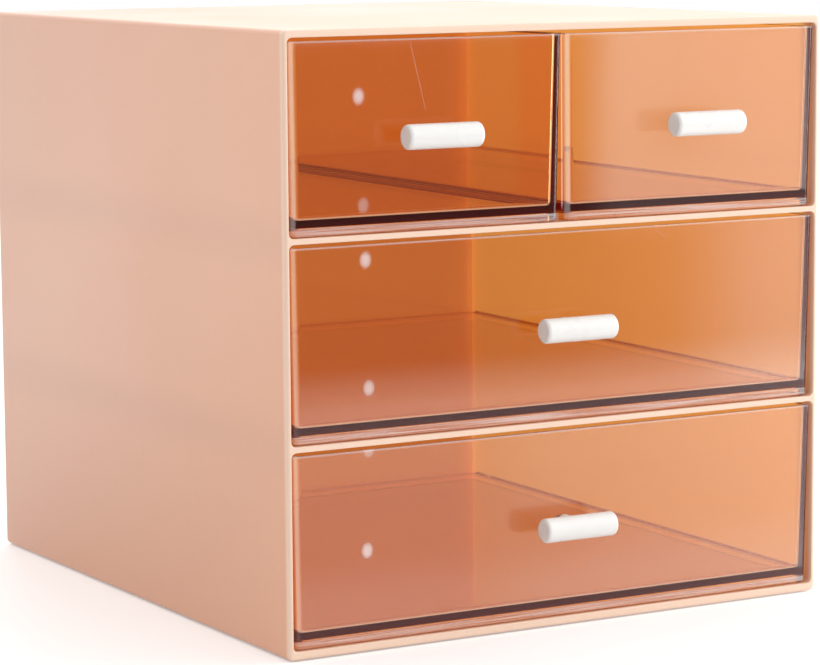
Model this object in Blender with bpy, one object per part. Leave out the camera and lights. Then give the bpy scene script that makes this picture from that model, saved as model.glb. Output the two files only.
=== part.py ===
"""A desktop cabinet with four drawers in three tiers, for make-up and small things.

Lengths are in metres and +Z is up. The drawers open towards -Y. The origin is on the ground,
under the middle of the whole object with its handles.
"""

import math

import bmesh
import bpy
from mathutils import Vector

# Cabinet: one moulding with three bays that are open at the front
CABINET_WIDTH = 0.240
CABINET_DEPTH = 0.266
CABINET_HEIGHT = 0.2315
SIDE_WALL = 0.0018
TOP_WALL = 0.0028
BASE_WALL = 0.0032
BACK_WALL = 0.0025
SHELF_THICKNESS = 0.0022
LOWER_BAY_HEIGHT = 0.0742
LOWER_BAYS = 2
LONG_EDGE_RADIUS = 0.0020
REAR_EDGE_RADIUS = 0.0025
FRONT_EDGE_RADIUS = 0.0012
BAY_CORNER_RADIUS = 0.0020
BAY_LIP_RADIUS = 0.0004

# Rib on the upper shelf that guides the two half-width drawers
GUIDE_RIB_HEIGHT = 0.0026
GUIDE_RIB_CLEARANCE = 0.0006
GUIDE_RIB_SETBACK = 0.0060

# Soft pads in shallow recesses under the base
PAD_RADIUS = 0.0060
PAD_THICKNESS = 0.0015
PAD_PROUD = 0.0005
PAD_INSET = 0.0180
PAD_EDGE_RADIUS = 0.0002

# Drawers: each is one moulding, a tray with leaning walls and skirts that run on the shelf
SEAT_GAP = 0.0003
DRAWER_SETBACK = 0.0002
DRAWER_SIDE_GAP = 0.0006
DRAWER_TOP_GAP = 0.0014
DRAWER_MIDDLE_GAP = 0.0014
DRAWER_BACK_GAP = 0.0012
DRAWER_WALL = 0.0022
DRAWER_FLOOR = 0.0026
OUTER_DRAFT = 0.0011
INNER_DRAFT = 0.0014
SKIRT_HEIGHT = 0.0033
RIM_RADIUS = 0.0006
FOOT_RADIUS = 0.0012
FLOOR_FILLET = 0.0018
SKIRT_FILLET = 0.0016
FRONT_OUTER_RADIUS = 0.0025
FRONT_INNER_RADIUS = 0.0018
REAR_INNER_RADIUS = 0.0030
SMALLEST_RADIUS = 0.0002

# Handles: a round bar on a short post, held by a screw from inside the drawer
HANDLE_LENGTH = 0.0315
HANDLE_RADIUS = 0.0047
HANDLE_STANDOFF = 0.0104
HANDLE_EDGE_RADIUS = 0.0012
POST_RADIUS = 0.0034
SCREW_RADIUS = 0.0015
SCREW_LENGTH = 0.0090
SCREW_HEAD_RADIUS = 0.0028
SCREW_HEAD_HEIGHT = 0.0020
SCREW_EDGE_RADIUS = 0.0006
SCREW_SLOT_WIDTH = 0.0007
SCREW_SLOT_SPAN = 0.0032
SCREW_SLOT_DEPTH = 0.0010
SCREW_CLEARANCE = 0.0003
HOLE_SPARE_DEPTH = 0.0010

# How far a cutter or a joined shape runs past what it meets
OVERRUN = 0.0010

# Smoothness
CORNER_STEPS = 4
EDGE_STEPS = 3
TURNED_STEPS = 32
SMALL_TURNED_STEPS = 20
SMOOTH_ANGLE = math.radians(40)

# Places that follow from the sizes above. The front of a drawer leans, so its faces at the
# handle lie behind those at its rim.
FRONT_OUTSIDE = OUTER_DRAFT / 2
FRONT_INSIDE = DRAWER_WALL + INNER_DRAFT / 2
HANDLE_REACH = HANDLE_STANDOFF + HANDLE_RADIUS - DRAWER_SETBACK - FRONT_OUTSIDE
FRONT_Y = (HANDLE_REACH - CABINET_DEPTH) / 2
BASE_Z = PAD_PROUD
BAY_HALF_WIDTH = CABINET_WIDTH / 2 - SIDE_WALL
BAY_DEPTH = CABINET_DEPTH - BACK_WALL
TOP_BAY_FLOOR = BASE_WALL + LOWER_BAYS * (LOWER_BAY_HEIGHT + SHELF_THICKNESS)
TOP_BAY_HEIGHT = CABINET_HEIGHT - TOP_WALL - TOP_BAY_FLOOR
DRAWER_Y = FRONT_Y + DRAWER_SETBACK
DRAWER_DEPTH = BAY_DEPTH - DRAWER_SETBACK - DRAWER_BACK_GAP
SCREW_HOLE_RADIUS = SCREW_RADIUS + SCREW_CLEARANCE
GUIDE_RIB_WIDTH = DRAWER_MIDDLE_GAP + 2 * (OUTER_DRAFT - GUIDE_RIB_CLEARANCE)


def clear_scene():
    for old in list(bpy.data.objects):
        bpy.data.objects.remove(old, do_unlink=True)


def make_material(name, colour, roughness, transmission=0.0):
    material = bpy.data.materials.new(name)
    material.use_nodes = True
    shader = material.node_tree.nodes["Principled BSDF"]
    shader.inputs["Base Color"].default_value = (*colour, 1.0)
    shader.inputs["Roughness"].default_value = roughness
    shader.inputs["Metallic"].default_value = 0.0
    shader.inputs["Transmission Weight"].default_value = transmission
    return material


def make_object(name, bm, material=None, parent=None, location=(0, 0, 0)):
    """Turns a bmesh into a smooth-shaded object with its faces pointing out."""
    bmesh.ops.recalc_face_normals(bm, faces=bm.faces)
    mesh = bpy.data.meshes.new(name)
    bm.to_mesh(mesh)
    bm.free()
    mesh.shade_smooth()
    mesh.set_sharp_from_angle(angle=SMOOTH_ANGLE)
    if material:
        mesh.materials.append(material)
    made = bpy.data.objects.new(name, mesh)
    bpy.context.scene.collection.objects.link(made)
    made.parent = parent
    made.location = location
    return made


def combine(target, helper, operation):
    """Joins or cuts target with helper, which stays in the scene as a wire guide."""
    helper.hide_render = True
    helper.display_type = "WIRE"
    modifier = target.modifiers.new(helper.name, "BOOLEAN")
    modifier.operation = operation
    modifier.solver = "EXACT"
    modifier.object = helper


def rounded_rectangle(low, high, radii):
    """Points round a rectangle from corner (low, low), each corner an arc of its own radius."""
    corners = (
        (low[0], low[1], 1, 1),
        (high[0], low[1], -1, 1),
        (high[0], high[1], -1, -1),
        (low[0], high[1], 1, -1),
    )
    points = []
    for turn, ((u, v, inward_u, inward_v), radius) in enumerate(zip(corners, radii)):
        for step in range(CORNER_STEPS + 1):
            angle = math.pi + (turn + step / CORNER_STEPS) * math.pi / 2
            centre_u = u + inward_u * radius
            centre_v = v + inward_v * radius
            points.append((centre_u + radius * math.cos(angle), centre_v + radius * math.sin(angle)))
    return points


def ring_at(bm, low, high, radii, along, axis):
    """A ring of vertices round a rounded rectangle, at a place along the Y or the Z axis."""
    points = rounded_rectangle(low, high, radii)
    if axis == "Y":
        return [bm.verts.new((u, along, v)) for u, v in points]
    return [bm.verts.new((u, v, along)) for u, v in points]


def skin(bm, rings):
    """Quads from each ring to the next."""
    for one, other in zip(rings, rings[1:]):
        for i in range(len(one)):
            j = (i + 1) % len(one)
            bm.faces.new((one[i], one[j], other[j], other[i]))


def quarter_turn(radius):
    """Steps round a quarter circle: how far along it has gone, and how far it still lies in."""
    steps = []
    for step in range(EDGE_STEPS + 1):
        angle = step / EDGE_STEPS * math.pi / 2
        steps.append((radius * (1 - math.cos(angle)), radius * (1 - math.sin(angle))))
    return steps


def inset(low, high, radii, by):
    """The same rounded rectangle drawn in by a distance, or let out by a negative one."""
    return (
        (low[0] + by, low[1] + by),
        (high[0] - by, high[1] - by),
        [max(radius - by, SMALLEST_RADIUS) for radius in radii],
    )


def turned(bm, profile, axis, steps):
    """A solid of revolution from (radius, place) pairs along the X, Y or Z axis."""
    rings = []
    for radius, along in profile:
        ring = []
        for step in range(steps):
            angle = 2 * math.pi * step / steps
            u, v = radius * math.cos(angle), radius * math.sin(angle)
            place = {"X": (along, u, v), "Y": (u, along, v), "Z": (u, v, along)}[axis]
            ring.append(bm.verts.new(place))
        rings.append(ring)
    skin(bm, rings)
    bm.faces.new(rings[0])
    bm.faces.new(rings[-1])


def rounded_bar(radius, start, end, edge):
    """Profile of a round bar from start to end with both rims rounded."""
    first = [(radius - lies_in, start + along) for along, lies_in in quarter_turn(edge)]
    last = [(radius - lies_in, end - along) for along, lies_in in reversed(quarter_turn(edge))]
    return first + last


def box(bm, low, high):
    middle = (Vector(low) + Vector(high)) / 2
    size = Vector(high) - Vector(low)
    made = bmesh.ops.create_cube(bm, size=1.0)
    bmesh.ops.scale(bm, vec=size, verts=made["verts"])
    bmesh.ops.translate(bm, vec=middle, verts=made["verts"])


def bay_floors():
    """Height of each bay's floor above the underside of the cabinet, from the bottom up."""
    pitch = LOWER_BAY_HEIGHT + SHELF_THICKNESS
    return [BASE_WALL + tier * pitch for tier in range(LOWER_BAYS + 1)]


def bay_height(tier):
    return LOWER_BAY_HEIGHT if tier < LOWER_BAYS else TOP_BAY_HEIGHT


def make_cabinet(material):
    """The moulded case. Its own origin is at the front, in the middle of the underside."""
    bm = bmesh.new()
    low, high = (-CABINET_WIDTH / 2, 0.0), (CABINET_WIDTH / 2, CABINET_HEIGHT)
    radii = [LONG_EDGE_RADIUS] * 4
    outer = []
    for along, lies_in in quarter_turn(FRONT_EDGE_RADIUS):
        outer.append(ring_at(bm, *inset(low, high, radii, lies_in), along, "Y"))
    for along, lies_in in reversed(quarter_turn(REAR_EDGE_RADIUS)):
        outer.append(ring_at(bm, *inset(low, high, radii, lies_in), CABINET_DEPTH - along, "Y"))
    skin(bm, outer)
    bm.faces.new(outer[-1])

    front_rings = [outer[0]]
    for tier, floor in enumerate(bay_floors()):
        bay_low, bay_high = (-BAY_HALF_WIDTH, floor), (BAY_HALF_WIDTH, floor + bay_height(tier))
        bay_radii = [BAY_CORNER_RADIUS] * 4
        rings = []
        for along, lies_in in quarter_turn(BAY_LIP_RADIUS):
            rings.append(ring_at(bm, *inset(bay_low, bay_high, bay_radii, -lies_in), along, "Y"))
        rings.append(ring_at(bm, bay_low, bay_high, bay_radii, BAY_DEPTH, "Y"))
        skin(bm, rings)
        bm.faces.new(rings[-1])
        front_rings.append(rings[0])

    rims = []
    for ring in front_rings:
        rims += [bm.edges.get((ring[i - 1], ring[i])) for i in range(len(ring))]
    bmesh.ops.triangle_fill(bm, edges=rims, use_beauty=True)
    cabinet = make_object("cabinet", bm, material, location=(0, FRONT_Y, BASE_Z))

    rib = bmesh.new()
    box(
        rib,
        (-GUIDE_RIB_WIDTH / 2, GUIDE_RIB_SETBACK, TOP_BAY_FLOOR - OVERRUN),
        (GUIDE_RIB_WIDTH / 2, BAY_DEPTH + OVERRUN, TOP_BAY_FLOOR + GUIDE_RIB_HEIGHT),
    )
    combine(cabinet, make_object("guide_rib", rib, location=cabinet.location), "UNION")

    for name, x, y in pad_places():
        recess = bmesh.new()
        depth = PAD_THICKNESS - PAD_PROUD + SEAT_GAP
        wall = PAD_RADIUS + SEAT_GAP
        turned(recess, [(wall, -OVERRUN), (wall, depth)], "Z", TURNED_STEPS)
        cutter = make_object(name + "_recess", recess, location=(x, y, BASE_Z))
        combine(cabinet, cutter, "DIFFERENCE")


def pad_places():
    """Name and place of each foot pad, near the corners of the base."""
    half_width = CABINET_WIDTH / 2 - PAD_INSET
    rows = (("front", FRONT_Y + PAD_INSET), ("rear", FRONT_Y + CABINET_DEPTH - PAD_INSET))
    sides = (("left", -half_width), ("right", half_width))
    return [(f"foot_pad_{row}_{side}", x, y) for row, y in rows for side, x in sides]


def make_pads(material):
    for name, x, y in pad_places():
        bm = bmesh.new()
        turned(bm, rounded_bar(PAD_RADIUS, 0.0, PAD_THICKNESS, PAD_EDGE_RADIUS), "Z", TURNED_STEPS)
        make_object(name, bm, material, location=(x, y, 0.0))


def make_tray(half_width, half_height):
    """Walls, floor and skirts: rings from the middle of the floor over the rim and back underneath."""
    bm = bmesh.new()
    runner, rim = -half_height, half_height
    underside = runner + SKIRT_HEIGHT
    floor = underside + DRAWER_FLOOR
    rear_radius = REAR_INNER_RADIUS + DRAWER_WALL
    outer = {
        "x": half_width,
        "front": 0.0,
        "back": DRAWER_DEPTH,
        "radii": [FRONT_OUTER_RADIUS, FRONT_OUTER_RADIUS, rear_radius, rear_radius],
        "draft": OUTER_DRAFT,
    }
    inner = {
        "x": half_width - DRAWER_WALL,
        "front": DRAWER_WALL,
        "back": DRAWER_DEPTH - DRAWER_WALL,
        "radii": [FRONT_INNER_RADIUS, FRONT_INNER_RADIUS, REAR_INNER_RADIUS, REAR_INNER_RADIUS],
        "draft": INNER_DRAFT,
    }

    def ring(shape, by, height):
        """The walls lean in towards the bottom, so that the moulding comes free."""
        lean = shape["draft"] * (rim - height) / (rim - runner)
        low = (lean - shape["x"], shape["front"] + lean)
        high = (shape["x"] - lean, shape["back"] - lean)
        return ring_at(bm, *inset(low, high, shape["radii"], by), height, "Z")

    rings = []
    for along, lies_in in quarter_turn(FLOOR_FILLET):
        rings.append(ring(inner, lies_in, floor + along))
    for along, lies_in in reversed(quarter_turn(RIM_RADIUS)):
        rings.append(ring(inner, -lies_in, rim - along))
    for along, lies_in in quarter_turn(RIM_RADIUS):
        rings.append(ring(outer, lies_in, rim - along))
    for along, lies_in in reversed(quarter_turn(FOOT_RADIUS)):
        rings.append(ring(outer, lies_in, runner + along))
    for along, lies_in in quarter_turn(RIM_RADIUS):
        rings.append(ring(inner, -lies_in, runner + along))
    for along, lies_in in reversed(quarter_turn(SKIRT_FILLET)):
        rings.append(ring(inner, lies_in, underside - along))
    skin(bm, rings)
    bm.faces.new(rings[0])
    bm.faces.new(rings[-1])
    return bm


def make_drawer(name, slide, half_width, half_height, material):
    tray = make_tray(half_width, half_height)
    drawer = make_object("drawer_" + name, tray, material, slide)

    hole = bmesh.new()
    ends = [(SCREW_HOLE_RADIUS, FRONT_OUTSIDE - OVERRUN), (SCREW_HOLE_RADIUS, FRONT_INSIDE + OVERRUN)]
    turned(hole, ends, "Y", SMALL_TURNED_STEPS)
    combine(drawer, make_object("screw_hole_" + name, hole, parent=slide), "DIFFERENCE")


def make_handle(name, slide, material):
    """A bar along X, with a post back to the drawer's front and a pilot hole for the screw."""
    bar = bmesh.new()
    half = HANDLE_LENGTH / 2
    turned(bar, rounded_bar(HANDLE_RADIUS, -half, half, HANDLE_EDGE_RADIUS), "X", TURNED_STEPS)
    axis = FRONT_OUTSIDE - HANDLE_STANDOFF
    bmesh.ops.translate(bar, vec=(0, axis, 0), verts=bar.verts)
    handle = make_object("handle_" + name, bar, material, slide)

    post = bmesh.new()
    turned(post, [(POST_RADIUS, axis), (POST_RADIUS, FRONT_OUTSIDE - SEAT_GAP)], "Y", TURNED_STEPS)
    combine(handle, make_object("post_" + name, post, parent=slide), "UNION")

    pilot = bmesh.new()
    end = FRONT_INSIDE + SEAT_GAP - SCREW_LENGTH - HOLE_SPARE_DEPTH
    turned(pilot, [(SCREW_HOLE_RADIUS, end), (SCREW_HOLE_RADIUS, OVERRUN)], "Y", SMALL_TURNED_STEPS)
    combine(handle, make_object("pilot_hole_" + name, pilot, parent=slide), "DIFFERENCE")


def make_screw(name, slide, material):
    """A pan-head screw through the front, with its cross-slotted head inside the drawer."""
    bm = bmesh.new()
    seat = FRONT_INSIDE + SEAT_GAP
    top = seat + SCREW_HEAD_HEIGHT
    profile = [(SCREW_RADIUS, seat - SCREW_LENGTH), (SCREW_RADIUS, seat), (SCREW_HEAD_RADIUS, seat)]
    turn = reversed(quarter_turn(SCREW_EDGE_RADIUS))
    profile += [(SCREW_HEAD_RADIUS - lies_in, top - along) for along, lies_in in turn]
    turned(bm, profile, "Y", SMALL_TURNED_STEPS)
    screw = make_object("handle_screw_" + name, bm, material, slide)

    half_width, half_span = SCREW_SLOT_WIDTH / 2, SCREW_SLOT_SPAN / 2
    for way, half_x, half_z in (("across", half_span, half_width), ("upright", half_width, half_span)):
        slot = bmesh.new()
        box(slot, (-half_x, top - SCREW_SLOT_DEPTH, -half_z), (half_x, top + OVERRUN, half_z))
        cutter = make_object(f"slot_{way}_{name}", slot, parent=slide)
        combine(screw, cutter, "DIFFERENCE")


def drawer_places():
    """Name, centre and half-width at the rim of each drawer, and the tier it is in."""
    full = BAY_HALF_WIDTH - DRAWER_SIDE_GAP
    half = (full - DRAWER_MIDDLE_GAP / 2) / 2
    middle = full - half
    return (
        ("bottom", 0.0, full, 0),
        ("middle", 0.0, full, 1),
        ("top_left", -middle, half, 2),
        ("top_right", middle, half, 2),
    )


def main():
    clear_scene()
    peach = make_material("peach_plastic", (0.80, 0.50, 0.36), 0.45)
    amber = make_material("amber_clear_plastic", (0.72, 0.32, 0.13), 0.08, transmission=0.9)
    white = make_material("white_plastic", (0.90, 0.89, 0.86), 0.25)
    steel = make_material("zinc_plated_steel", (0.62, 0.62, 0.60), 0.30)
    steel.node_tree.nodes["Principled BSDF"].inputs["Metallic"].default_value = 1.0
    rubber = make_material("grey_pad_rubber", (0.42, 0.41, 0.40), 0.85)

    make_cabinet(peach)
    make_pads(rubber)
    floors = bay_floors()
    for name, x, half_width, tier in drawer_places():
        half_height = (bay_height(tier) - DRAWER_TOP_GAP - SEAT_GAP) / 2
        slide = bpy.data.objects.new("slide_" + name, None)
        bpy.context.scene.collection.objects.link(slide)
        slide.location = (x, DRAWER_Y, BASE_Z + floors[tier] + SEAT_GAP + half_height)
        make_drawer(name, slide, half_width, half_height, amber)
        make_handle(name, slide, white)
        make_screw(name, slide, steel)


main()
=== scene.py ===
"""The looks of the drawer cabinet: peach moulded case, clear amber drawers, white bar handles.

Lengths are in metres, in the row frame: +Z up, and the drawers open towards -Y.
"""

import math

import bmesh
import bpy
from mathutils import Matrix, Vector


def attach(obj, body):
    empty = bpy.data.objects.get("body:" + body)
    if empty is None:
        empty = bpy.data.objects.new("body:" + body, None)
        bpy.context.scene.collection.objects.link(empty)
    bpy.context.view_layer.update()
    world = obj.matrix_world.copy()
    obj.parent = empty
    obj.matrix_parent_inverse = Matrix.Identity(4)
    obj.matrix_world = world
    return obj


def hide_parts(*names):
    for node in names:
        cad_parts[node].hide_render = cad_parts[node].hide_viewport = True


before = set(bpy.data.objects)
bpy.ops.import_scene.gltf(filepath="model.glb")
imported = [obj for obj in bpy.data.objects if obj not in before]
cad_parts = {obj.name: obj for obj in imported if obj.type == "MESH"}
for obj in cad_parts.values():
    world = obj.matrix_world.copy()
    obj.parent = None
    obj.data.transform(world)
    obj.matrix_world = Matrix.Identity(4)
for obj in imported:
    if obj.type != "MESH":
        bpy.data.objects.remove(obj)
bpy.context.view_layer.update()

# Sizes of the moulded shapes, as the solids have them
CABINET_WIDTH = 0.240
CABINET_DEPTH = 0.266
CABINET_HEIGHT = 0.2315
SIDE_WALL = 0.0018
TOP_WALL = 0.0028
BASE_WALL = 0.0032
BACK_WALL = 0.0025
SHELF_THICKNESS = 0.0022
LOWER_BAY_HEIGHT = 0.0742
LOWER_BAYS = 2
LONG_EDGE_RADIUS = 0.0020
REAR_EDGE_RADIUS = 0.0025
FRONT_EDGE_RADIUS = 0.0012
BAY_CORNER_RADIUS = 0.0020
BAY_LIP_RADIUS = 0.0004

GUIDE_RIB_HEIGHT = 0.0026
GUIDE_RIB_CLEARANCE = 0.0006
GUIDE_RIB_SETBACK = 0.0060

PAD_RADIUS = 0.0060
PAD_THICKNESS = 0.0015
PAD_PROUD = 0.0005
PAD_INSET = 0.0180
PAD_EDGE_RADIUS = 0.0002

SEAT_GAP = 0.0003
DRAWER_SETBACK = 0.0002
DRAWER_SIDE_GAP = 0.0006
DRAWER_TOP_GAP = 0.0014
DRAWER_MIDDLE_GAP = 0.0014
DRAWER_BACK_GAP = 0.0012
DRAWER_WALL = 0.0022
DRAWER_FLOOR = 0.0026
OUTER_DRAFT = 0.0011
INNER_DRAFT = 0.0014
SKIRT_HEIGHT = 0.0033
RIM_RADIUS = 0.0006
FOOT_RADIUS = 0.0012
FLOOR_FILLET = 0.0018
SKIRT_FILLET = 0.0016
FRONT_OUTER_RADIUS = 0.0025
FRONT_INNER_RADIUS = 0.0018
REAR_INNER_RADIUS = 0.0030
SMALLEST_RADIUS = 0.0002

HANDLE_LENGTH = 0.0315
HANDLE_RADIUS = 0.0047
HANDLE_STANDOFF = 0.0104
HANDLE_EDGE_RADIUS = 0.0012
POST_RADIUS = 0.0034
SCREW_RADIUS = 0.0015
SCREW_LENGTH = 0.0090
SCREW_HEAD_RADIUS = 0.0028
SCREW_HEAD_HEIGHT = 0.0020
SCREW_EDGE_RADIUS = 0.0006
SCREW_SLOT_WIDTH = 0.0007
SCREW_SLOT_SPAN = 0.0032
SCREW_SLOT_DEPTH = 0.0010
SCREW_CLEARANCE = 0.0003
HOLE_SPARE_DEPTH = 0.0010

OVERRUN = 0.0010

CORNER_STEPS = 8
EDGE_STEPS = 5
TURNED_STEPS = 64
SMALL_TURNED_STEPS = 32
SMOOTH_ANGLE = math.radians(32)

# The front of a drawer leans, so its faces at the handle lie behind those at its rim
FRONT_OUTSIDE = OUTER_DRAFT / 2
FRONT_INSIDE = DRAWER_WALL + INNER_DRAFT / 2
HANDLE_REACH = HANDLE_STANDOFF + HANDLE_RADIUS - DRAWER_SETBACK - FRONT_OUTSIDE
FRONT_Y = (HANDLE_REACH - CABINET_DEPTH) / 2
BASE_Z = PAD_PROUD
BAY_HALF_WIDTH = CABINET_WIDTH / 2 - SIDE_WALL
BAY_DEPTH = CABINET_DEPTH - BACK_WALL
TOP_BAY_FLOOR = BASE_WALL + LOWER_BAYS * (LOWER_BAY_HEIGHT + SHELF_THICKNESS)
TOP_BAY_HEIGHT = CABINET_HEIGHT - TOP_WALL - TOP_BAY_FLOOR
DRAWER_Y = FRONT_Y + DRAWER_SETBACK
DRAWER_DEPTH = BAY_DEPTH - DRAWER_SETBACK - DRAWER_BACK_GAP
SCREW_HOLE_RADIUS = SCREW_RADIUS + SCREW_CLEARANCE
GUIDE_RIB_WIDTH = DRAWER_MIDDLE_GAP + 2 * (OUTER_DRAFT - GUIDE_RIB_CLEARANCE)

# Camera, from a fit to the edges of the case in the photograph
IMAGE_WIDTH = 820
CAMERA_PLACE = Vector((-0.6601, -1.1519, 0.2757))
CAMERA_AZIMUTH = math.radians(-29.984)
CAMERA_ELEVATION = math.radians(7.533)
CAMERA_ROLL = math.radians(-0.395)
CAMERA_FOCAL_PIXELS = 3222.7
SENSOR_WIDTH = 36.0


# Meshes

def rounded_rectangle(low, high, radii):
    """Points round a rectangle from corner (low, low), each corner an arc of its own radius."""
    corners = (
        (low[0], low[1], 1, 1),
        (high[0], low[1], -1, 1),
        (high[0], high[1], -1, -1),
        (low[0], high[1], 1, -1),
    )
    points = []
    for turn, ((u, v, inward_u, inward_v), radius) in enumerate(zip(corners, radii)):
        for step in range(CORNER_STEPS + 1):
            angle = math.pi + (turn + step / CORNER_STEPS) * math.pi / 2
            centre_u = u + inward_u * radius
            centre_v = v + inward_v * radius
            points.append((
                centre_u + radius * math.cos(angle),
                centre_v + radius * math.sin(angle),
            ))
    return points


def ring_at(bm, low, high, radii, along, axis):
    """A ring of vertices round a rounded rectangle, at a place along the Y or the Z axis."""
    points = rounded_rectangle(low, high, radii)
    if axis == "Y":
        return [bm.verts.new((u, along, v)) for u, v in points]
    return [bm.verts.new((u, v, along)) for u, v in points]


def skin(bm, rings):
    """Quads from each ring to the next."""
    for one, other in zip(rings, rings[1:]):
        for i in range(len(one)):
            j = (i + 1) % len(one)
            bm.faces.new((one[i], one[j], other[j], other[i]))


def quarter_turn(radius):
    """Steps round a quarter circle: how far along it has gone, and how far it still lies in."""
    steps = []
    for step in range(EDGE_STEPS + 1):
        angle = step / EDGE_STEPS * math.pi / 2
        steps.append((radius * (1 - math.cos(angle)), radius * (1 - math.sin(angle))))
    return steps


def inset(low, high, radii, by):
    """The same rounded rectangle drawn in by a distance, or let out by a negative one."""
    return (
        (low[0] + by, low[1] + by),
        (high[0] - by, high[1] - by),
        [max(radius - by, SMALLEST_RADIUS) for radius in radii],
    )


def turned(bm, profile, axis, steps):
    """A solid of revolution from (radius, place) pairs along the X, Y or Z axis."""
    rings = []
    for radius, along in profile:
        ring = []
        for step in range(steps):
            angle = 2 * math.pi * step / steps
            u, v = radius * math.cos(angle), radius * math.sin(angle)
            place = {"X": (along, u, v), "Y": (u, along, v), "Z": (u, v, along)}[axis]
            ring.append(bm.verts.new(place))
        rings.append(ring)
    skin(bm, rings)
    bm.faces.new(rings[0])
    bm.faces.new(rings[-1])


def rounded_bar(radius, start, end, edge):
    """Profile of a round bar from start to end with both rims rounded."""
    first = [(radius - lies_in, start + along) for along, lies_in in quarter_turn(edge)]
    last = [(radius - lies_in, end - along) for along, lies_in in reversed(quarter_turn(edge))]
    return first + last


def box(bm, low, high):
    middle = (Vector(low) + Vector(high)) / 2
    size = Vector(high) - Vector(low)
    made = bmesh.ops.create_cube(bm, size=1.0)
    bmesh.ops.scale(bm, vec=size, verts=made["verts"])
    bmesh.ops.translate(bm, vec=middle, verts=made["verts"])


def rough_object(name, bm, place):
    bmesh.ops.recalc_face_normals(bm, faces=bm.faces)
    mesh = bpy.data.meshes.new(name)
    bm.to_mesh(mesh)
    bm.free()
    mesh.transform(Matrix.Translation(place))
    made = bpy.data.objects.new(name, mesh)
    bpy.context.scene.collection.objects.link(made)
    return made


def finished(name, base, steps, material, body, *replaced):
    """The base shape after its unions and cuts, with clean shading, riding on its body."""
    for helper, operation in steps:
        modifier = base.modifiers.new(helper.name, "BOOLEAN")
        modifier.operation = operation
        modifier.solver = "EXACT"
        modifier.object = helper
    bpy.context.view_layer.update()
    evaluated = base.evaluated_get(bpy.context.evaluated_depsgraph_get())
    mesh = bpy.data.meshes.new_from_object(evaluated)
    mesh.name = name
    for old in [base] + [helper for helper, _ in steps]:
        bpy.data.objects.remove(old, do_unlink=True)
    mesh.shade_smooth()
    mesh.set_sharp_from_angle(angle=SMOOTH_ANGLE)
    mesh.materials.clear()
    mesh.materials.append(material)
    made = bpy.data.objects.new(name, mesh)
    bpy.context.scene.collection.objects.link(made)
    weighted = made.modifiers.new("flat_faces", "WEIGHTED_NORMAL")
    weighted.keep_sharp = True
    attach(made, body)
    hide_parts(*replaced)
    return made


def bay_floors():
    """Height of each bay's floor above the underside of the cabinet, from the bottom up."""
    pitch = LOWER_BAY_HEIGHT + SHELF_THICKNESS
    return [BASE_WALL + tier * pitch for tier in range(LOWER_BAYS + 1)]


def bay_height(tier):
    return LOWER_BAY_HEIGHT if tier < LOWER_BAYS else TOP_BAY_HEIGHT


def pad_places():
    """Name and place of each foot pad, near the corners of the base."""
    half_width = CABINET_WIDTH / 2 - PAD_INSET
    rows = (("front", FRONT_Y + PAD_INSET), ("rear", FRONT_Y + CABINET_DEPTH - PAD_INSET))
    sides = (("left", -half_width), ("right", half_width))
    return [(f"foot_pad_{row}_{side}", x, y) for row, y in rows for side, x in sides]


def make_cabinet(material):
    bm = bmesh.new()
    low, high = (-CABINET_WIDTH / 2, 0.0), (CABINET_WIDTH / 2, CABINET_HEIGHT)
    radii = [LONG_EDGE_RADIUS] * 4
    outer = []
    for along, lies_in in quarter_turn(FRONT_EDGE_RADIUS):
        outer.append(ring_at(bm, *inset(low, high, radii, lies_in), along, "Y"))
    for along, lies_in in reversed(quarter_turn(REAR_EDGE_RADIUS)):
        outer.append(ring_at(bm, *inset(low, high, radii, lies_in), CABINET_DEPTH - along, "Y"))
    skin(bm, outer)
    bm.faces.new(outer[-1])

    front_rings = [outer[0]]
    for tier, floor in enumerate(bay_floors()):
        bay_low = (-BAY_HALF_WIDTH, floor)
        bay_high = (BAY_HALF_WIDTH, floor + bay_height(tier))
        bay_radii = [BAY_CORNER_RADIUS] * 4
        rings = []
        for along, lies_in in quarter_turn(BAY_LIP_RADIUS):
            rings.append(ring_at(bm, *inset(bay_low, bay_high, bay_radii, -lies_in), along, "Y"))
        rings.append(ring_at(bm, bay_low, bay_high, bay_radii, BAY_DEPTH, "Y"))
        skin(bm, rings)
        bm.faces.new(rings[-1])
        front_rings.append(rings[0])

    rims = []
    for ring in front_rings:
        rims += [bm.edges.get((ring[i - 1], ring[i])) for i in range(len(ring))]
    bmesh.ops.triangle_fill(bm, edges=rims, use_beauty=True)
    place = Vector((0, FRONT_Y, BASE_Z))
    shell = rough_object("shell", bm, place)

    rib = bmesh.new()
    box(
        rib,
        (-GUIDE_RIB_WIDTH / 2, GUIDE_RIB_SETBACK, TOP_BAY_FLOOR - OVERRUN),
        (GUIDE_RIB_WIDTH / 2, BAY_DEPTH + OVERRUN, TOP_BAY_FLOOR + GUIDE_RIB_HEIGHT),
    )
    steps = [(rough_object("rib", rib, place), "UNION")]
    for name, x, y in pad_places():
        recess = bmesh.new()
        depth = PAD_THICKNESS - PAD_PROUD + SEAT_GAP
        wall = PAD_RADIUS + SEAT_GAP
        turned(recess, [(wall, -OVERRUN), (wall, depth)], "Z", TURNED_STEPS)
        steps.append((rough_object(name + "_recess", recess, Vector((x, y, BASE_Z))), "DIFFERENCE"))
    return finished("case_moulding", shell, steps, material, "case", "cabinet")


def make_pads(material):
    for name, x, y in pad_places():
        bm = bmesh.new()
        turned(bm, rounded_bar(PAD_RADIUS, 0.0, PAD_THICKNESS, PAD_EDGE_RADIUS), "Z", TURNED_STEPS)
        pad = rough_object(name + "_disc", bm, Vector((x, y, 0.0)))
        finished(name + "_moulded", pad, [], material, "case", name)


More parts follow.
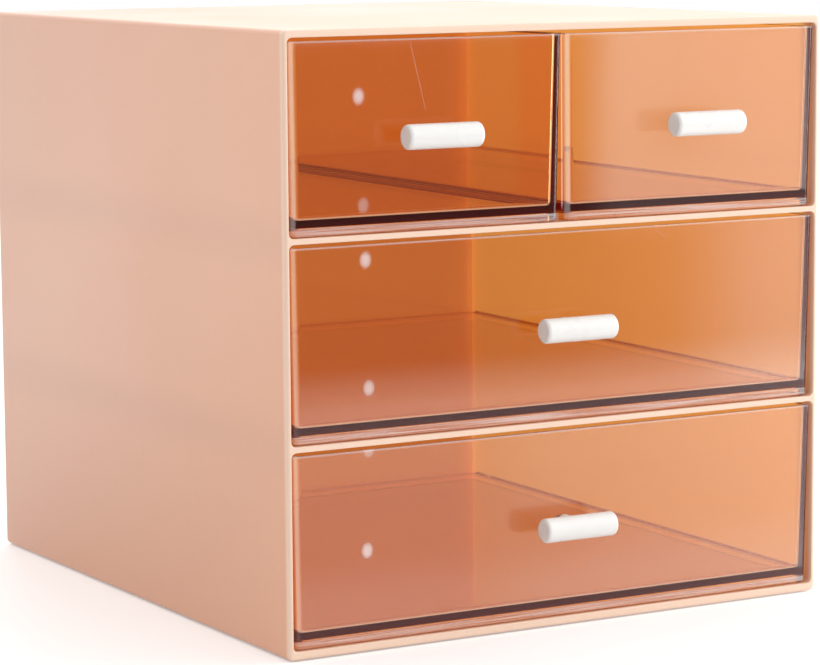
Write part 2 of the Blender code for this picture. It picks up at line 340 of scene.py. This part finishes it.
def tray_mesh(half_width, half_height):
    """Walls, floor and skirts, as rings from the floor's middle over the rim to the underside."""
    bm = bmesh.new()
    runner, rim = -half_height, half_height
    underside = runner + SKIRT_HEIGHT
    floor = underside + DRAWER_FLOOR
    rear_radius = REAR_INNER_RADIUS + DRAWER_WALL
    outer = {
        "x": half_width,
        "front": 0.0,
        "back": DRAWER_DEPTH,
        "radii": [FRONT_OUTER_RADIUS, FRONT_OUTER_RADIUS, rear_radius, rear_radius],
        "draft": OUTER_DRAFT,
    }
    inner = {
        "x": half_width - DRAWER_WALL,
        "front": DRAWER_WALL,
        "back": DRAWER_DEPTH - DRAWER_WALL,
        "radii": [FRONT_INNER_RADIUS, FRONT_INNER_RADIUS, REAR_INNER_RADIUS, REAR_INNER_RADIUS],
        "draft": INNER_DRAFT,
    }

    def ring(shape, by, height):
        """The walls lean in towards the bottom, so that the moulding comes free."""
        lean = shape["draft"] * (rim - height) / (rim - runner)
        low = (lean - shape["x"], shape["front"] + lean)
        high = (shape["x"] - lean, shape["back"] - lean)
        return ring_at(bm, *inset(low, high, shape["radii"], by), height, "Z")

    rings = []
    for along, lies_in in quarter_turn(FLOOR_FILLET):
        rings.append(ring(inner, lies_in, floor + along))
    for along, lies_in in reversed(quarter_turn(RIM_RADIUS)):
        rings.append(ring(inner, -lies_in, rim - along))
    for along, lies_in in quarter_turn(RIM_RADIUS):
        rings.append(ring(outer, lies_in, rim - along))
    for along, lies_in in reversed(quarter_turn(FOOT_RADIUS)):
        rings.append(ring(outer, lies_in, runner + along))
    for along, lies_in in quarter_turn(RIM_RADIUS):
        rings.append(ring(inner, -lies_in, runner + along))
    for along, lies_in in reversed(quarter_turn(SKIRT_FILLET)):
        rings.append(ring(inner, lies_in, underside - along))
    skin(bm, rings)
    bm.faces.new(rings[0])
    bm.faces.new(rings[-1])
    return bm


def make_drawer(name, place, half_width, half_height, material):
    tray = rough_object("tray", tray_mesh(half_width, half_height), place)
    hole = bmesh.new()
    start, end = FRONT_OUTSIDE - OVERRUN, FRONT_INSIDE + OVERRUN
    turned(hole, [(SCREW_HOLE_RADIUS, start), (SCREW_HOLE_RADIUS, end)], "Y", SMALL_TURNED_STEPS)
    steps = [(rough_object("hole", hole, place), "DIFFERENCE")]
    return finished(
        "drawer_moulding_" + name, tray, steps, material, name + "_drawer", "drawer_" + name
    )


def make_handle(name, place, material):
    bar = bmesh.new()
    half = HANDLE_LENGTH / 2
    turned(bar, rounded_bar(HANDLE_RADIUS, -half, half, HANDLE_EDGE_RADIUS), "X", TURNED_STEPS)
    axis = FRONT_OUTSIDE - HANDLE_STANDOFF
    bmesh.ops.translate(bar, vec=(0, axis, 0), verts=bar.verts)
    post = bmesh.new()
    turned(post, [(POST_RADIUS, axis), (POST_RADIUS, FRONT_OUTSIDE - SEAT_GAP)], "Y", TURNED_STEPS)
    pilot = bmesh.new()
    end = FRONT_INSIDE + SEAT_GAP - SCREW_LENGTH - HOLE_SPARE_DEPTH
    turned(pilot, [(SCREW_HOLE_RADIUS, end), (SCREW_HOLE_RADIUS, OVERRUN)], "Y", SMALL_TURNED_STEPS)
    steps = [
        (rough_object("post", post, place), "UNION"),
        (rough_object("pilot", pilot, place), "DIFFERENCE"),
    ]
    bar = rough_object("bar", bar, place)
    return finished("bar_handle_" + name, bar, steps, material, name + "_drawer", "handle_" + name)


def make_screw(name, place, material):
    bm = bmesh.new()
    seat = FRONT_INSIDE + SEAT_GAP
    top = seat + SCREW_HEAD_HEIGHT
    profile = [(SCREW_RADIUS, seat - SCREW_LENGTH), (SCREW_RADIUS, seat), (SCREW_HEAD_RADIUS, seat)]
    turn = reversed(quarter_turn(SCREW_EDGE_RADIUS))
    profile += [(SCREW_HEAD_RADIUS - lies_in, top - along) for along, lies_in in turn]
    turned(bm, profile, "Y", SMALL_TURNED_STEPS)
    screw = rough_object("screw", bm, place)
    half_width, half_span = SCREW_SLOT_WIDTH / 2, SCREW_SLOT_SPAN / 2
    steps = []
    arms = (("across", half_span, half_width), ("upright", half_width, half_span))
    for way, half_x, half_z in arms:
        slot = bmesh.new()
        box(slot, (-half_x, top - SCREW_SLOT_DEPTH, -half_z), (half_x, top + OVERRUN, half_z))
        steps.append((rough_object("slot_" + way, slot, place), "DIFFERENCE"))
    return finished(
        "pan_head_screw_" + name, screw, steps, material, name + "_drawer", "handle_screw_" + name
    )


def drawer_places():
    """Name, centre and half-width at the rim of each drawer, and the tier it is in."""
    full = BAY_HALF_WIDTH - DRAWER_SIDE_GAP
    half = (full - DRAWER_MIDDLE_GAP / 2) / 2
    middle = full - half
    return (
        ("bottom", 0.0, full, 0),
        ("middle", 0.0, full, 1),
        ("top_left", -middle, half, 2),
        ("top_right", middle, half, 2),
    )


# Materials

PLASTIC_IOR = 1.49

# Places of the colour sockets in a Mix node, which holds one set for each type of data
MIX_FACTOR, MIX_FIRST, MIX_SECOND, MIX_RESULT = 0, 6, 7, 2

# Ways for a range to go from its one end to the other
STRAIGHT, SMOOTH, SMOOTHER = "LINEAR", "SMOOTHSTEP", "SMOOTHERSTEP"


class Graph:
    """The nodes of a material or of the world, with short calls to make and join them."""

    def __init__(self, owner):
        owner.use_nodes = True
        self.tree = owner.node_tree

    def node(self, kind, **settings):
        made = self.tree.nodes.new(kind)
        for key, value in settings.items():
            setattr(made, key, value)
        return made

    def feed(self, socket, value):
        if isinstance(value, bpy.types.NodeSocket):
            self.tree.links.new(value, socket)
        elif socket.type == "RGBA" and len(value) == 3:
            socket.default_value = (*value, 1.0)
        else:
            socket.default_value = value

    def place(self):
        return self.node("ShaderNodeTexCoord").outputs["Object"]

    def facing(self):
        return self.node("ShaderNodeNewGeometry").outputs["Normal"]

    def split(self, vector):
        made = self.node("ShaderNodeSeparateXYZ")
        self.feed(made.inputs[0], vector)
        return [made.outputs[axis] for axis in "XYZ"]

    def scaled(self, vector, factors):
        made = self.node("ShaderNodeVectorMath", operation="MULTIPLY")
        self.feed(made.inputs[0], vector)
        self.feed(made.inputs[1], factors)
        return made.outputs[0]

    def along(self, vector, direction):
        """How far a vector goes in one direction."""
        made = self.node("ShaderNodeVectorMath", operation="DOT_PRODUCT")
        self.feed(made.inputs[0], vector)
        self.feed(made.inputs[1], direction)
        return made.outputs["Value"]

    def noise(self, vector, scale, detail=2.0):
        made = self.node("ShaderNodeTexNoise")
        self.feed(made.inputs["Vector"], vector)
        self.feed(made.inputs["Scale"], scale)
        self.feed(made.inputs["Detail"], detail)
        return made.outputs["Fac"]

    def ranged(self, value, low, high, to_low, to_high, way=STRAIGHT):
        made = self.node("ShaderNodeMapRange", interpolation_type=way)
        ends = {"From Min": low, "From Max": high, "To Min": to_low, "To Max": to_high}
        for name, number in ends.items():
            self.feed(made.inputs[name], number)
        self.feed(made.inputs["Value"], value)
        return made.outputs["Result"]

    def mask(self, value, off, on, way=STRAIGHT):
        """0 where the value is at off or beyond it, and 1 where it is at on or beyond it."""
        return self.ranged(value, off, on, 0.0, 1.0, way)

    def math(self, operation, one, other=0.0):
        made = self.node("ShaderNodeMath", operation=operation)
        self.feed(made.inputs[0], one)
        self.feed(made.inputs[1], other)
        return made.outputs[0]

    def total(self, first, *others):
        for other in others:
            first = self.math("ADD", first, other)
        return first

    def product(self, first, *others):
        for other in others:
            first = self.math("MULTIPLY", first, other)
        return first

    def opposite(self, share):
        return self.math("SUBTRACT", 1.0, share)

    def mix(self, factor, one, other):
        made = self.node("ShaderNodeMix", data_type="RGBA")
        self.feed(made.inputs[MIX_FACTOR], factor)
        self.feed(made.inputs[MIX_FIRST], one)
        self.feed(made.inputs[MIX_SECOND], other)
        return made.outputs[MIX_RESULT]

    def seen(self, paths):
        """1 for what the camera sees, straight or through clear plastic, and 0 for other light."""
        direct = self.math("LESS_THAN", paths.outputs["Diffuse Depth"], 0.5)
        through = self.product(paths.outputs["Is Transmission Ray"], direct)
        return self.math("MAXIMUM", paths.outputs["Is Camera Ray"], through)


class MaterialGraph(Graph):
    def __init__(self, name):
        self.material = bpy.data.materials.new(name)
        super().__init__(self.material)
        self.shader = self.tree.nodes["Principled BSDF"]
        self.output = self.tree.nodes["Material Output"]

    def bump(self, height, strength, distance, under=None):
        made = self.node("ShaderNodeBump")
        self.feed(made.inputs["Height"], height)
        self.feed(made.inputs["Strength"], strength)
        self.feed(made.inputs["Distance"], distance)
        if under:
            self.feed(made.inputs["Normal"], under)
        return made.outputs["Normal"]

    def set(self, values):
        for name, value in values.items():
            self.feed(self.shader.inputs[name], value)


# The case: its colour drifts between the first two, and the others are laid over it, a painted
# shade and a painted highlight among them
PEACH, PEACH_WARMER = (0.815, 0.412, 0.252), (0.855, 0.450, 0.284)
PEACH_SPECKLE = (0.87, 0.53, 0.37)
PEACH_PAINTED_SHADE = (0.55, 0.30, 0.22)
PEACH_RIM_HIGHLIGHT = (0.960, 0.715, 0.560)
SPECKLE_TONE = 0.10
# Share of the painted shade at the back, and beside a shelf as far as its reach
REAR_PAINTED_SHADE = 0.35
SHELF_PAINTED_SHADE = 0.15
SHELF_PAINTED_SHADE_REACH = 0.016
# Share of the painted highlight, a pale tone on the front edges, and how far behind them it starts
# and is full
CASE_RIM_HIGHLIGHT = 0.9
CASE_RIM_HIGHLIGHT_DEPTHS = (0.0035, 0.0004)

# Painted glow inside the bays, at the front and at the back, and its factors on level faces and
# above
GLOW_FRONT, GLOW_BACK = 0.405, 0.353
GLOW_DEPTHS = (0.02, 0.26)
LEVEL_GLOW = 0.55
TOP_BAY_GLOW = 1.2
# Colours of the painted glow: on most faces, and on the inside of the right wall
GLOW_COLOUR, GLOW_RIGHT = (0.950, 0.364, 0.084), (1.36, 0.800, 0.245)
# The far end of the top bay shows through two drawers, and needs paler colours there
FAR_GLOW_COLOUR, FAR_GLOW_RIGHT = (0.950, 0.458, 0.150), (1.365, 0.985, 0.450)
FAR_END = (0.088, 0.096)
# How deep under each kind of outer face the glow starts and is full
SIDE_SKIN = (0.0006, 0.0010)
BACK_SKIN = (0.0008, 0.0014)
LEVEL_SKIN = (0.0014, 0.0020)
LIP_DEPTHS = (0.001, 0.012)
RIB_MARGINS = (0.0001, 0.0008)
# Heights over the floor of the top bay: where the lower bays end, and where its own glow starts
LOWER_BAYS_END = (-0.001, -0.006)
TOP_BAY_START = (-0.006, 0.004)
RIGHT_WALL_FACING = (-0.4, -0.6)


def painted_bay_glow(g, place):
    """Painted glow: colour and strength of an emission inside the bays, in place of the light that
    comes through the thin walls.
    """
    x, y, z = g.split(place)
    facing_x, _, facing_z = g.split(g.facing())
    from_middle = g.math("ABSOLUTE", x)
    over_shelf = g.math("SUBTRACT", z, BASE_Z + TOP_BAY_FLOOR)
    in_lower_bays = g.mask(over_shelf, *LOWER_BAYS_END)
    beside_rib = g.mask(from_middle, *(GUIDE_RIB_WIDTH / 2 + margin for margin in RIB_MARGINS))
    inside = g.product(
        g.mask(from_middle, *(CABINET_WIDTH / 2 - depth for depth in SIDE_SKIN)),
        g.mask(y, *(FRONT_Y + depth for depth in LIP_DEPTHS), SMOOTH),
        g.mask(y, *(FRONT_Y + CABINET_DEPTH - depth for depth in BACK_SKIN)),
        g.mask(z, *(BASE_Z + depth for depth in LEVEL_SKIN)),
        g.mask(z, *(BASE_Z + CABINET_HEIGHT - depth for depth in LEVEL_SKIN)),
        g.math("MAXIMUM", in_lower_bays, beside_rib),
    )
    strength = g.product(
        inside,
        g.ranged(y, *(FRONT_Y + depth for depth in GLOW_DEPTHS), GLOW_FRONT, GLOW_BACK),
        g.ranged(g.math("ABSOLUTE", facing_z), 0.0, 1.0, 1.0, LEVEL_GLOW),
        g.ranged(over_shelf, *TOP_BAY_START, 1.0, TOP_BAY_GLOW),
    )
    right_wall = g.mask(facing_x, *RIGHT_WALL_FACING)
    at_far_end = g.product(g.opposite(in_lower_bays), g.mask(y, *FAR_END))
    colour = g.mix(
        at_far_end,
        g.mix(right_wall, GLOW_COLOUR, GLOW_RIGHT),
        g.mix(right_wall, FAR_GLOW_COLOUR, FAR_GLOW_RIGHT),
    )
    return colour, strength


def peach_material():
    g = MaterialGraph("peach_moulding")
    place = g.place()
    _, y, z = g.split(place)
    cloudy = g.noise(place, scale=9.0, detail=3.0)
    speckle = g.noise(place, scale=420.0)
    base = g.mix(cloudy, PEACH, PEACH_WARMER)
    base = g.mix(g.ranged(speckle, 0.35, 0.75, 0.0, SPECKLE_TONE), base, PEACH_SPECKLE)
    # Painted shade: the case is darker where the shelves stand behind its thin sides, and towards
    # the back
    shade = g.ranged(y, FRONT_Y, FRONT_Y + CABINET_DEPTH, 0.0, REAR_PAINTED_SHADE)
    for floor in bay_floors()[1:]:
        away = g.math("ABSOLUTE", g.math("SUBTRACT", z, BASE_Z + floor - SHELF_THICKNESS / 2))
        beside = g.ranged(away, 0.0, SHELF_PAINTED_SHADE_REACH, SHELF_PAINTED_SHADE, 0.0, SMOOTH)
        shade = g.total(shade, beside)
    base = g.mix(shade, base, PEACH_PAINTED_SHADE)
    # Painted highlight: a pale tone along the front edges of the case
    rim = g.mask(y, *(FRONT_Y + depth for depth in CASE_RIM_HIGHLIGHT_DEPTHS), SMOOTH)
    base = g.mix(g.product(rim, CASE_RIM_HIGHLIGHT), base, PEACH_RIM_HIGHLIGHT)
    waves = g.bump(g.noise(place, scale=22.0), strength=0.06, distance=0.0010)
    grain = g.bump(g.noise(place, scale=1500.0), strength=0.05, distance=0.00006, under=waves)
    # Painted glow on the faces inside the bays, given as emission
    glow_colour, glow_strength = painted_bay_glow(g, place)
    g.set({
        "Base Color": base,
        "Roughness": g.ranged(cloudy, 0.3, 0.7, 0.34, 0.42),
        "Normal": grain,
        "IOR": PLASTIC_IOR,
        "Emission Color": glow_colour,
        "Emission Strength": glow_strength,
    })
    return g.material


# The drawers: what their plastic lets through, and how much it takes out of the rest per metre
AMBER = (0.927, 0.636, 0.0)
AMBER_DENSITY = 220.0
# Painted glow given as emission: faint everywhere in the plastic, and a painted highlight along the
# fillets behind the front
AMBER_GLOW, AMBER_GLOW_STRENGTH = (1.0, 0.13, 0.08), 0.017
FILLET_HIGHLIGHT, FILLET_HIGHLIGHT_STRENGTH = (0.9, 1.0, 1.1), 0.28
FILLET_HIGHLIGHT_DEPTHS = (0.0001, 0.0005, 0.0010, 0.0016)

# Dust and painted sheen on the fronts, a pale film thicker where they look lit: tier, axis along
# which it thickens, from where to where, and its share at both
DUST_AND_SHEEN = (
    ("top", "x", 0.000, 0.026, 0.0, 0.13),
    ("middle", "x", 0.045, 0.100, 0.0, 0.08),
    ("low", "x", -0.045, 0.000, 0.03, 0.06),
    ("middle", "z", 0.110, 0.097, 0.0, 0.06),
    ("low", "z", 0.040, 0.015, 0.0, 0.06),
)
# It stays clear of the dark bands along the floor and the right side, and lies on the outer face
DUST_AND_SHEEN_HEIGHTS = (0.0062, 0.0070)
DUST_AND_SHEEN_RIGHT_END = (0.1150, 0.1140)
OUTER_FACE_DEPTHS = (0.0016, 0.0014)

# Share of the pale matt film that paints a highlight at the rim and at the left corner, and painted
# reflections in the streaks of the skirt
FRONT_RIM_HIGHLIGHT = 0.26
FRONT_RIM_HIGHLIGHT_REACH = (0.0009, 0.0004)
CORNER_HIGHLIGHT = 0.20
CORNER_FACING = (-0.15, -0.55)
LOWER_CORNER_FACTOR = 0.25
SKIRT_REFLECTION = (0.06, 0.42)
STREAK_SCALES = (25.0, 25.0, 2600.0)
STREAK_LEVELS = (0.35, 0.62)
SKIRT_FADE = 0.0005
FRONT_WALL_FADE = 0.0004

# Place and strength of each painted highlight on the fronts, a small pale matt spot, and the half
# sizes of a spot
HIGHLIGHT_SPOTS = (
    (-0.0888, 0.2072, 0.50),
    (-0.0868, 0.1672, 0.20),
    (-0.0866, 0.1472, 0.50),
    (-0.0852, 0.0995, 0.42),
    (-0.0860, 0.0766, 0.25),
    (-0.0866, 0.0386, 0.50),
)
HIGHLIGHT_SPOT_WIDTH = 0.0034
HIGHLIGHT_SPOT_HEIGHT = 0.0043

# Ends of fine scratches on the fronts, as x and z of the upper and of the lower end
SCRATCHES = (
    (-0.0671, 0.2267, -0.0602, 0.2005),
    (0.0395, 0.1535, 0.0475, 0.1470),
    (-0.0185, 0.0690, -0.0135, 0.0600),
)
SCRATCH_HALF_WIDTH = 0.0003
SCRATCH_STRENGTH = 0.16
SCRATCH_FADE = 0.002


# Half the height over which one tier's marks give way to the next, inside the shelf between them
TIER_BLEND = 0.0005


class DrawerPlace:
    """Where a point of a drawer lies: tier, height, and depth behind the leaning front."""

    def __init__(self, g, place):
        self.x, y, self.z = g.split(place)
        floors = bay_floors()
        low_size, top_size = (
            bay_height(tier) - DRAWER_TOP_GAP - SEAT_GAP for tier in (0, LOWER_BAYS)
        )
        shelves = [BASE_Z + floor - SHELF_THICKNESS / 2 for floor in floors[1:]]
        above_lower, self.top = (g.mask(self.z, z - TIER_BLEND, z + TIER_BLEND) for z in shelves)
        self.low = g.opposite(above_lower)
        self.middle = g.math("SUBTRACT", above_lower, self.top)
        runner = g.total(
            g.product(self.middle, floors[1] - floors[0]),
            g.product(self.top, floors[2] - floors[0]),
            BASE_Z + floors[0] + SEAT_GAP,
        )
        self.height = g.math("SUBTRACT", self.z, runner)
        size = g.total(g.product(self.top, top_size - low_size), low_size)
        self.below_rim = g.math("SUBTRACT", size, self.height)
        lean = g.math("DIVIDE", self.below_rim, size)
        self.depth = g.math("SUBTRACT", y, DRAWER_Y)
        self.outer_depth = g.math("SUBTRACT", self.depth, g.product(lean, OUTER_DRAFT))
        self.inner_depth = g.math("SUBTRACT", self.depth, g.product(lean, INNER_DRAFT))


# Dust and painted sheen: a pale film on each front, thicker where the fronts look lit
def front_dust_and_sheen(g, at, grain):
    tiers = {"top": at.top, "middle": at.middle, "low": at.low}
    axes = {"x": at.x, "z": at.z}
    shares = [
        g.product(tiers[tier], g.ranged(axes[axis], start, end, thin, thick, SMOOTH))
        for tier, axis, start, end, thin, thick in DUST_AND_SHEEN
    ]
    return g.product(
        g.total(*shares),
        g.ranged(grain, 0.3, 0.7, 0.92, 1.08),
        g.mask(at.height, *DUST_AND_SHEEN_HEIGHTS),
        g.mask(at.x, *DUST_AND_SHEEN_RIGHT_END),
    )


def front_highlight_spots(g, at):
    """Painted highlights: small pale matt spots, one above the other near the left ends of the
    fronts.
    """
    spots = []
    for x, z, strength in HIGHLIGHT_SPOTS:
        along = g.math("DIVIDE", g.math("SUBTRACT", at.x, x), HIGHLIGHT_SPOT_WIDTH)
        above = g.math("DIVIDE", g.math("SUBTRACT", at.z, z), HIGHLIGHT_SPOT_HEIGHT)
        away = g.total(g.product(along, along), g.product(above, above))
        spot = g.math("POWER", g.ranged(away, 0.0, 1.0, 1.0, 0.0, SMOOTH), 2.0)
        spots.append(g.product(spot, strength))
    return g.total(*spots)


def front_scratches(g, at):
    scratches = []
    for upper_x, upper_z, lower_x, lower_z in SCRATCHES:
        slope = (upper_x - lower_x) / (upper_z - lower_z)
        middle = g.total(g.product(g.math("SUBTRACT", at.z, lower_z), slope), lower_x)
        away = g.math("ABSOLUTE", g.math("SUBTRACT", at.x, middle))
        scratches.append(g.product(
            g.ranged(away, 0.0, SCRATCH_HALF_WIDTH, SCRATCH_STRENGTH, 0.0, SMOOTH),
            g.mask(at.z, lower_z, lower_z + SCRATCH_FADE),
            g.mask(at.z, upper_z, upper_z - SCRATCH_FADE),
        ))
    return g.total(*scratches)


def edge_highlights(g, at, place):
    """Painted highlights on the rim and the left corner of each front, and painted streaky
    reflections on its skirt, all as a pale matt film.
    """
    facing_x, _, _ = g.split(g.facing())
    rim = g.ranged(at.below_rim, *FRONT_RIM_HIGHLIGHT_REACH, 0.0, FRONT_RIM_HIGHLIGHT, SMOOTH)
    corner = g.product(
        g.ranged(at.top, 0.0, 1.0, LOWER_CORNER_FACTOR, 1.0),
        g.ranged(facing_x, *CORNER_FACING, 0.0, CORNER_HIGHLIGHT, SMOOTH),
    )
    streaks = g.noise(g.scaled(place, STREAK_SCALES), scale=1.0)
    skirt = g.product(
        g.mask(at.height, SKIRT_HEIGHT, SKIRT_HEIGHT - SKIRT_FADE),
        g.ranged(streaks, *STREAK_LEVELS, *SKIRT_REFLECTION),
    )
    painted_edge_light = g.math("MAXIMUM", g.math("MAXIMUM", rim, corner), skirt)
    return g.product(painted_edge_light, g.mask(at.outer_depth, DRAWER_WALL, DRAWER_WALL - FRONT_WALL_FADE))


def amber_material():
    g = MaterialGraph("amber_acrylic")
    place = g.place()
    at = DrawerPlace(g, place)
    waves = g.noise(place, scale=14.0)
    streaks = g.noise(g.scaled(place, (60.0, 60.0, 900.0)), scale=1.0, detail=3.0)
    grain = g.noise(place, scale=700.0)
    on_outer_face = g.mask(at.depth, *OUTER_FACE_DEPTHS)
    marks = g.total(front_dust_and_sheen(g, at, grain), front_highlight_spots(g, at), front_scratches(g, at))
    # The pale matt film: dust and scratches, with painted sheen, highlights and reflections
    haze_and_highlights = g.total(g.product(marks, on_outer_face), edge_highlights(g, at, place))
    # Painted highlight along the inner fillets behind the front, given as emission
    start, full, fading, end = (DRAWER_WALL + depth for depth in FILLET_HIGHLIGHT_DEPTHS)
    fillet_highlight = g.product(
        g.mask(at.inner_depth, start, full),
        g.mask(at.inner_depth, end, fading),
        g.mask(at.height, SKIRT_HEIGHT, SKIRT_HEIGHT + DRAWER_FLOOR),
    )
    g.set({
        "Base Color": (1.0, 1.0, 1.0),
        "Roughness": g.total(
            g.ranged(streaks, 0.55, 0.75, 0.02, 0.05), g.ranged(grain, 0.68, 0.78, 0.0, 0.06)
        ),
        "Normal": g.bump(waves, strength=0.05, distance=0.0006),
        "IOR": PLASTIC_IOR,
        "Transmission Weight": g.opposite(haze_and_highlights),
        "Emission Color": g.mix(fillet_highlight, AMBER_GLOW, FILLET_HIGHLIGHT),
        "Emission Strength": g.total(g.product(fillet_highlight, FILLET_HIGHLIGHT_STRENGTH), AMBER_GLOW_STRENGTH),
    })
    inner = g.node("ShaderNodeVolumeAbsorption")
    g.feed(inner.inputs["Color"], AMBER)
    g.feed(inner.inputs["Density"], AMBER_DENSITY)
    g.feed(g.output.inputs["Volume"], inner.outputs[0])
    return g.material


def white_material():
    g = MaterialGraph("white_moulding")
    place = g.place()
    cloudy = g.noise(place, scale=60.0)
    grain = g.noise(place, scale=900.0)
    g.set({
        "Base Color": g.mix(cloudy, (0.90, 0.885, 0.86), (0.94, 0.925, 0.90)),
        "Roughness": g.ranged(cloudy, 0.3, 0.7, 0.24, 0.34),
        "Normal": g.bump(grain, strength=0.08, distance=0.00008),
    })
    return g.material


def zinc_material():
    g = MaterialGraph("zinc_plate")
    blotches = g.noise(g.place(), scale=700.0, detail=3.0)
    g.set({
        "Base Color": g.mix(blotches, (0.52, 0.53, 0.54), (0.68, 0.68, 0.66)),
        "Roughness": g.ranged(blotches, 0.3, 0.7, 0.25, 0.42),
        "Metallic": 1.0,
    })
    return g.material


def rubber_material():
    g = MaterialGraph("grey_rubber")
    grain = g.noise(g.place(), scale=1800.0, detail=3.0)
    g.set({
        "Base Color": g.mix(grain, (0.34, 0.33, 0.32), (0.44, 0.43, 0.42)),
        "Roughness": g.ranged(grain, 0.3, 0.7, 0.75, 0.92),
        "Normal": g.bump(grain, strength=0.3, distance=0.0001),
    })
    return g.material


# Studio

FLOOR_SIZE = 3.0
FLOOR_COLOUR = (0.86, 0.86, 0.86)
FLOOR_ROUGHNESS = 0.6
FLOOR_WHITENING = 0.3
# Painted reflections: in reflections the floor shows the white table top as far as its front edge,
# and a dark room beyond
TABLE_EDGE = (-0.60, -0.55)
ROOM_COLOUR = (0.10, 0.10, 0.10)
# They also show a painted pool of window light on its side of the floor: where it starts, where it
# is full and how strong it is, near the table and far off
TOWARDS_WINDOW = (0.831, 0.556, 0.0)
NEAR_LIGHT = (-0.12, 0.20, 1.6)
FAR_LIGHT = (-0.085, -0.040, 0.8)
FAR_OFF = (-1.05, -1.20)

# The world: its level, and lobes of light as direction, cosines where each starts and is full,
# and strength. The last one is only for reflections.
WORLD_LEVEL = 0.38
WORLD_LOBES = (
    ((0.15, -1.0, 0.3), 0.1, 0.9, 0.50),
    ((0.0, 0.2, 1.0), 0.2, 0.9, 0.4),
    ((0.0, 1.0, 0.0), -0.2, 0.6, 0.25),
)
MIRRORED_LOBE = ((0.0, 1.0, 0.0), -0.1, 0.3, 1.4)

WINDOW_WIDTH = 0.9
WINDOW_HEIGHT = 1.0
WINDOW_RADIANCE = 3.2
WINDOW_PLACE = Vector((1.05, -0.45, 0.55))
WINDOW_AIM = Vector((0.0, -0.12, 0.51))


def make_floor():
    bm = bmesh.new()
    bmesh.ops.create_grid(bm, x_segments=1, y_segments=1, size=FLOOR_SIZE)
    mesh = bpy.data.meshes.new("floor")
    bm.to_mesh(mesh)
    bm.free()
    floor = bpy.data.objects.new("floor", mesh)
    bpy.context.scene.collection.objects.link(floor)
    g = MaterialGraph("floor_paint")
    place = g.place()
    _, y, _ = g.split(place)
    paths = g.node("ShaderNodeLightPath")
    mirrored = paths.outputs["Is Glossy Ray"]
    table = g.mask(y, *TABLE_EDGE, SMOOTH)
    beyond = g.product(mirrored, g.opposite(table))
    sideways = g.along(place, TOWARDS_WINDOW)
    far_off = g.mask(y, *FAR_OFF)
    near, far = (
        g.ranged(sideways, start, full, 0.0, strength, SMOOTH)
        for start, full, strength in (NEAR_LIGHT, FAR_LIGHT)
    )
    window = g.total(g.product(far, far_off), g.product(near, g.opposite(far_off)))
    painted_reflection = g.total(g.product(table, FLOOR_WHITENING), window)
    g.set({
        "Base Color": g.mix(beyond, FLOOR_COLOUR, ROOM_COLOUR),
        "Roughness": FLOOR_ROUGHNESS,
        "Emission Color": (1.0, 1.0, 1.0),
        "Emission Strength": g.total(
            g.product(g.seen(paths), FLOOR_WHITENING), g.product(mirrored, painted_reflection)
        ),
    })
    mesh.materials.append(g.material)


def make_world():
    """A studio as a soft gradient: brighter towards the front, the top and the back."""
    world = bpy.data.worlds.new("studio")
    bpy.context.scene.world = world
    g = Graph(world)
    where = g.node("ShaderNodeTexCoord").outputs["Generated"]
    paths = g.node("ShaderNodeLightPath")

    def lobe(direction, start, full, strength):
        cosine = g.along(where, Vector(direction).normalized())
        return g.ranged(cosine, start, full, 0.0, strength, SMOOTHER)

    level = g.total(
        WORLD_LEVEL,
        *(lobe(*settings) for settings in WORLD_LOBES),
        g.product(lobe(*MIRRORED_LOBE), paths.outputs["Is Glossy Ray"]),
    )
    seen = g.seen(paths)
    background = g.tree.nodes["Background"]
    g.feed(background.inputs["Strength"], g.total(g.product(level, g.opposite(seen)), seen))
    g.feed(background.inputs["Color"], (1.0, 1.0, 1.0))


def make_window():
    """A big soft lamp on the front right, mirrored in the right half of the drawers."""
    data = bpy.data.lights.new("window", "AREA")
    data.shape = "RECTANGLE"
    data.size = WINDOW_WIDTH
    data.size_y = WINDOW_HEIGHT
    data.energy = WINDOW_RADIANCE * math.pi * WINDOW_WIDTH * WINDOW_HEIGHT
    lamp = bpy.data.objects.new("window", data)
    bpy.context.scene.collection.objects.link(lamp)
    lamp.location = WINDOW_PLACE
    lamp.rotation_euler = (WINDOW_AIM - WINDOW_PLACE).to_track_quat("-Z", "Z").to_euler()
    lamp.visible_camera = False


def make_camera():
    right = Vector((math.cos(CAMERA_AZIMUTH), math.sin(CAMERA_AZIMUTH), 0))
    back = Vector((
        math.sin(CAMERA_AZIMUTH) * math.cos(CAMERA_ELEVATION),
        -math.cos(CAMERA_AZIMUTH) * math.cos(CAMERA_ELEVATION),
        math.sin(CAMERA_ELEVATION),
    ))
    up = back.cross(right)
    turned_right = math.cos(CAMERA_ROLL) * right + math.sin(CAMERA_ROLL) * up
    turned_up = math.cos(CAMERA_ROLL) * up - math.sin(CAMERA_ROLL) * right
    data = bpy.data.cameras.new("camera")
    data.sensor_fit = "HORIZONTAL"
    data.sensor_width = SENSOR_WIDTH
    data.lens = CAMERA_FOCAL_PIXELS * SENSOR_WIDTH / IMAGE_WIDTH
    camera = bpy.data.objects.new("camera", data)
    bpy.context.scene.collection.objects.link(camera)
    turn = Matrix((turned_right, turned_up, back)).transposed().to_4x4()
    camera.matrix_world = Matrix.Translation(CAMERA_PLACE) @ turn
    bpy.context.scene.camera = camera


peach = peach_material()
amber = amber_material()
white = white_material()
zinc = zinc_material()
rubber = rubber_material()

make_cabinet(peach)
make_pads(rubber)
for drawer, x, half_width, tier in drawer_places():
    half_height = (bay_height(tier) - DRAWER_TOP_GAP - SEAT_GAP) / 2
    place = Vector((x, DRAWER_Y, BASE_Z + bay_floors()[tier] + SEAT_GAP + half_height))
    make_drawer(drawer, place, half_width, half_height, amber)
    make_handle(drawer, place, white)
    make_screw(drawer, place, zinc)

make_floor()
make_world()
make_window()
make_camera()
bpy.context.scene.view_settings.view_transform = "Standard"
